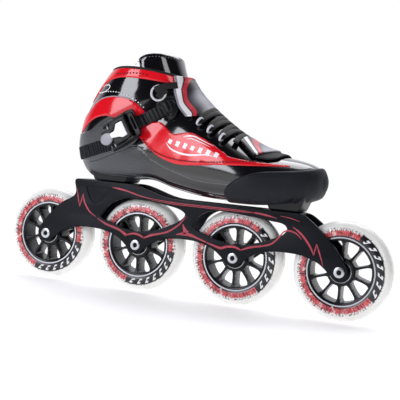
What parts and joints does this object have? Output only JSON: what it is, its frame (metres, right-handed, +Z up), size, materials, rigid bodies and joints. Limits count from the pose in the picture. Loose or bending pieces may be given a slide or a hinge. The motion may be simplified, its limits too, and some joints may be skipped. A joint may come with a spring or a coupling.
{
  "type": "inline speed skate",
  "caption": "Low-cut right-foot inline speed skate: strapped, laced boot on a milled frame with inline wheels on bearings.",
  "frame": {"origin": "on the ground under the axle of the rear wheel, in the wheels' mid plane", "axes": "+X towards the toe, along the wheels; +Z up; -Y towards the outer (lateral) side of the right foot, where the buckle is"},
  "size_m": [0.43, 0.0992, 0.2561],
  "materials": {
    "urethane": "cast, semi-gloss, red and black print on the outer side",
    "hub_plastic": "moulded, satin, silver rim",
    "bearing_steel": "ground",
    "axle_steel": "turned",
    "frame_aluminium": "milled and anodised blue-black",
    "carbon": "twill carbon under clear resin",
    "black_patent": "gloss",
    "red_patent": "gloss",
    "lining": "brushed mesh over foam",
    "bumper_rubber": "matt",
    "black_plastic": "moulded, satin",
    "silver_plastic": "painted silver",
    "black_webbing": "woven",
    "silver_cloth": "coated, semi-gloss",
    "lace_cord": "braided",
    "loop_metal": "bright"
  },
  "bodies": {
    "chassis": {"wheel_1_axle_sleeve": "axle_steel", "wheel_1_axle_bolt": "axle_steel", "wheel_2_axle_sleeve": "axle_steel", "wheel_2_axle_bolt": "axle_steel", "wheel_3_axle_sleeve": "axle_steel", "wheel_3_axle_bolt": "axle_steel", "wheel_4_axle_sleeve": "axle_steel", "wheel_4_axle_bolt": "axle_steel", "frame": "frame_aluminium", "mount_washer_rear": "axle_steel", "mount_bolt_rear": "axle_steel", "mount_washer_front": "axle_steel", "mount_bolt_front": "axle_steel", "carbon_shell": "carbon", "boot_upper": "black_patent", "tongue": "black_patent", "liner": "lining", "insole": "lining", "quarter_panel_lateral": "red_patent", "quarter_panel_medial": "red_patent", "heel_panel": "red_patent", "collar_band": "red_patent", "toe_bumper": "bumper_rubber", "heel_cuff": "black_plastic", "instep_strap": "black_webbing", "strap_anchor": "black_plastic", "strap_pad": "black_plastic", "shin_strap": "silver_cloth", "toe_strap_base": "black_webbing", "toe_strap": "silver_cloth", "lace": "lace_cord", "lace_loop_medial_1": "loop_metal", "lace_loop_lateral_1": "loop_metal", "lace_loop_medial_2": "loop_metal", "lace_loop_lateral_2": "loop_metal", "lace_loop_medial_3": "loop_metal", "buckle_base": "black_plastic", "buckle_pin": "axle_steel", "buckle_pawl_pin": "axle_steel", "ladder_strap": "black_plastic"},
    "wheel_1": {"wheel_1_tyre": "urethane", "wheel_1_hub": "hub_plastic", "wheel_1_bearing_lateral": "bearing_steel", "wheel_1_bearing_medial": "bearing_steel"},
    "wheel_2": {"wheel_2_tyre": "urethane", "wheel_2_hub": "hub_plastic", "wheel_2_bearing_lateral": "bearing_steel", "wheel_2_bearing_medial": "bearing_steel"},
    "wheel_3": {"wheel_3_tyre": "urethane", "wheel_3_hub": "hub_plastic", "wheel_3_bearing_lateral": "bearing_steel", "wheel_3_bearing_medial": "bearing_steel"},
    "wheel_4": {"wheel_4_tyre": "urethane", "wheel_4_hub": "hub_plastic", "wheel_4_bearing_lateral": "bearing_steel", "wheel_4_bearing_medial": "bearing_steel"},
    "lever": {"buckle_lever": "silver_plastic"},
    "pawl": {"buckle_pawl": "black_plastic"}
  },
  "joints": [
    {"name": "wheel_1_spin", "type": "hinge", "parent": "chassis", "child": "wheel_1", "pos_m": [0, 0, 0.05], "axis": [0, 1, 0], "continuous": true},
    {"name": "wheel_2_spin", "type": "hinge", "parent": "chassis", "child": "wheel_2", "pos_m": [0.11, 0, 0.05], "axis": [0, 1, 0], "continuous": true},
    {"name": "wheel_3_spin", "type": "hinge", "parent": "chassis", "child": "wheel_3", "pos_m": [0.22, 0, 0.05], "axis": [0, 1, 0], "continuous": true},
    {"name": "wheel_4_spin", "type": "hinge", "parent": "chassis", "child": "wheel_4", "pos_m": [0.33, 0, 0.05], "axis": [0, 1, 0], "continuous": true},
    {"name": "buckle_lever_hinge", "type": "hinge", "parent": "chassis", "child": "lever", "pos_m": [0.10239, -0.04648, 0.17345], "axis": [-0.5446, 0, 0.8387], "range_deg": [0, 100]},
    {"name": "buckle_pawl_hinge", "type": "hinge", "parent": "chassis", "child": "pawl", "pos_m": [0.08477, -0.04448, 0.16201], "axis": [-0.5446, 0, 0.8387], "range_deg": [-10, 0], "stiffness_Nm_per_rad": 0.02}
  ]
}
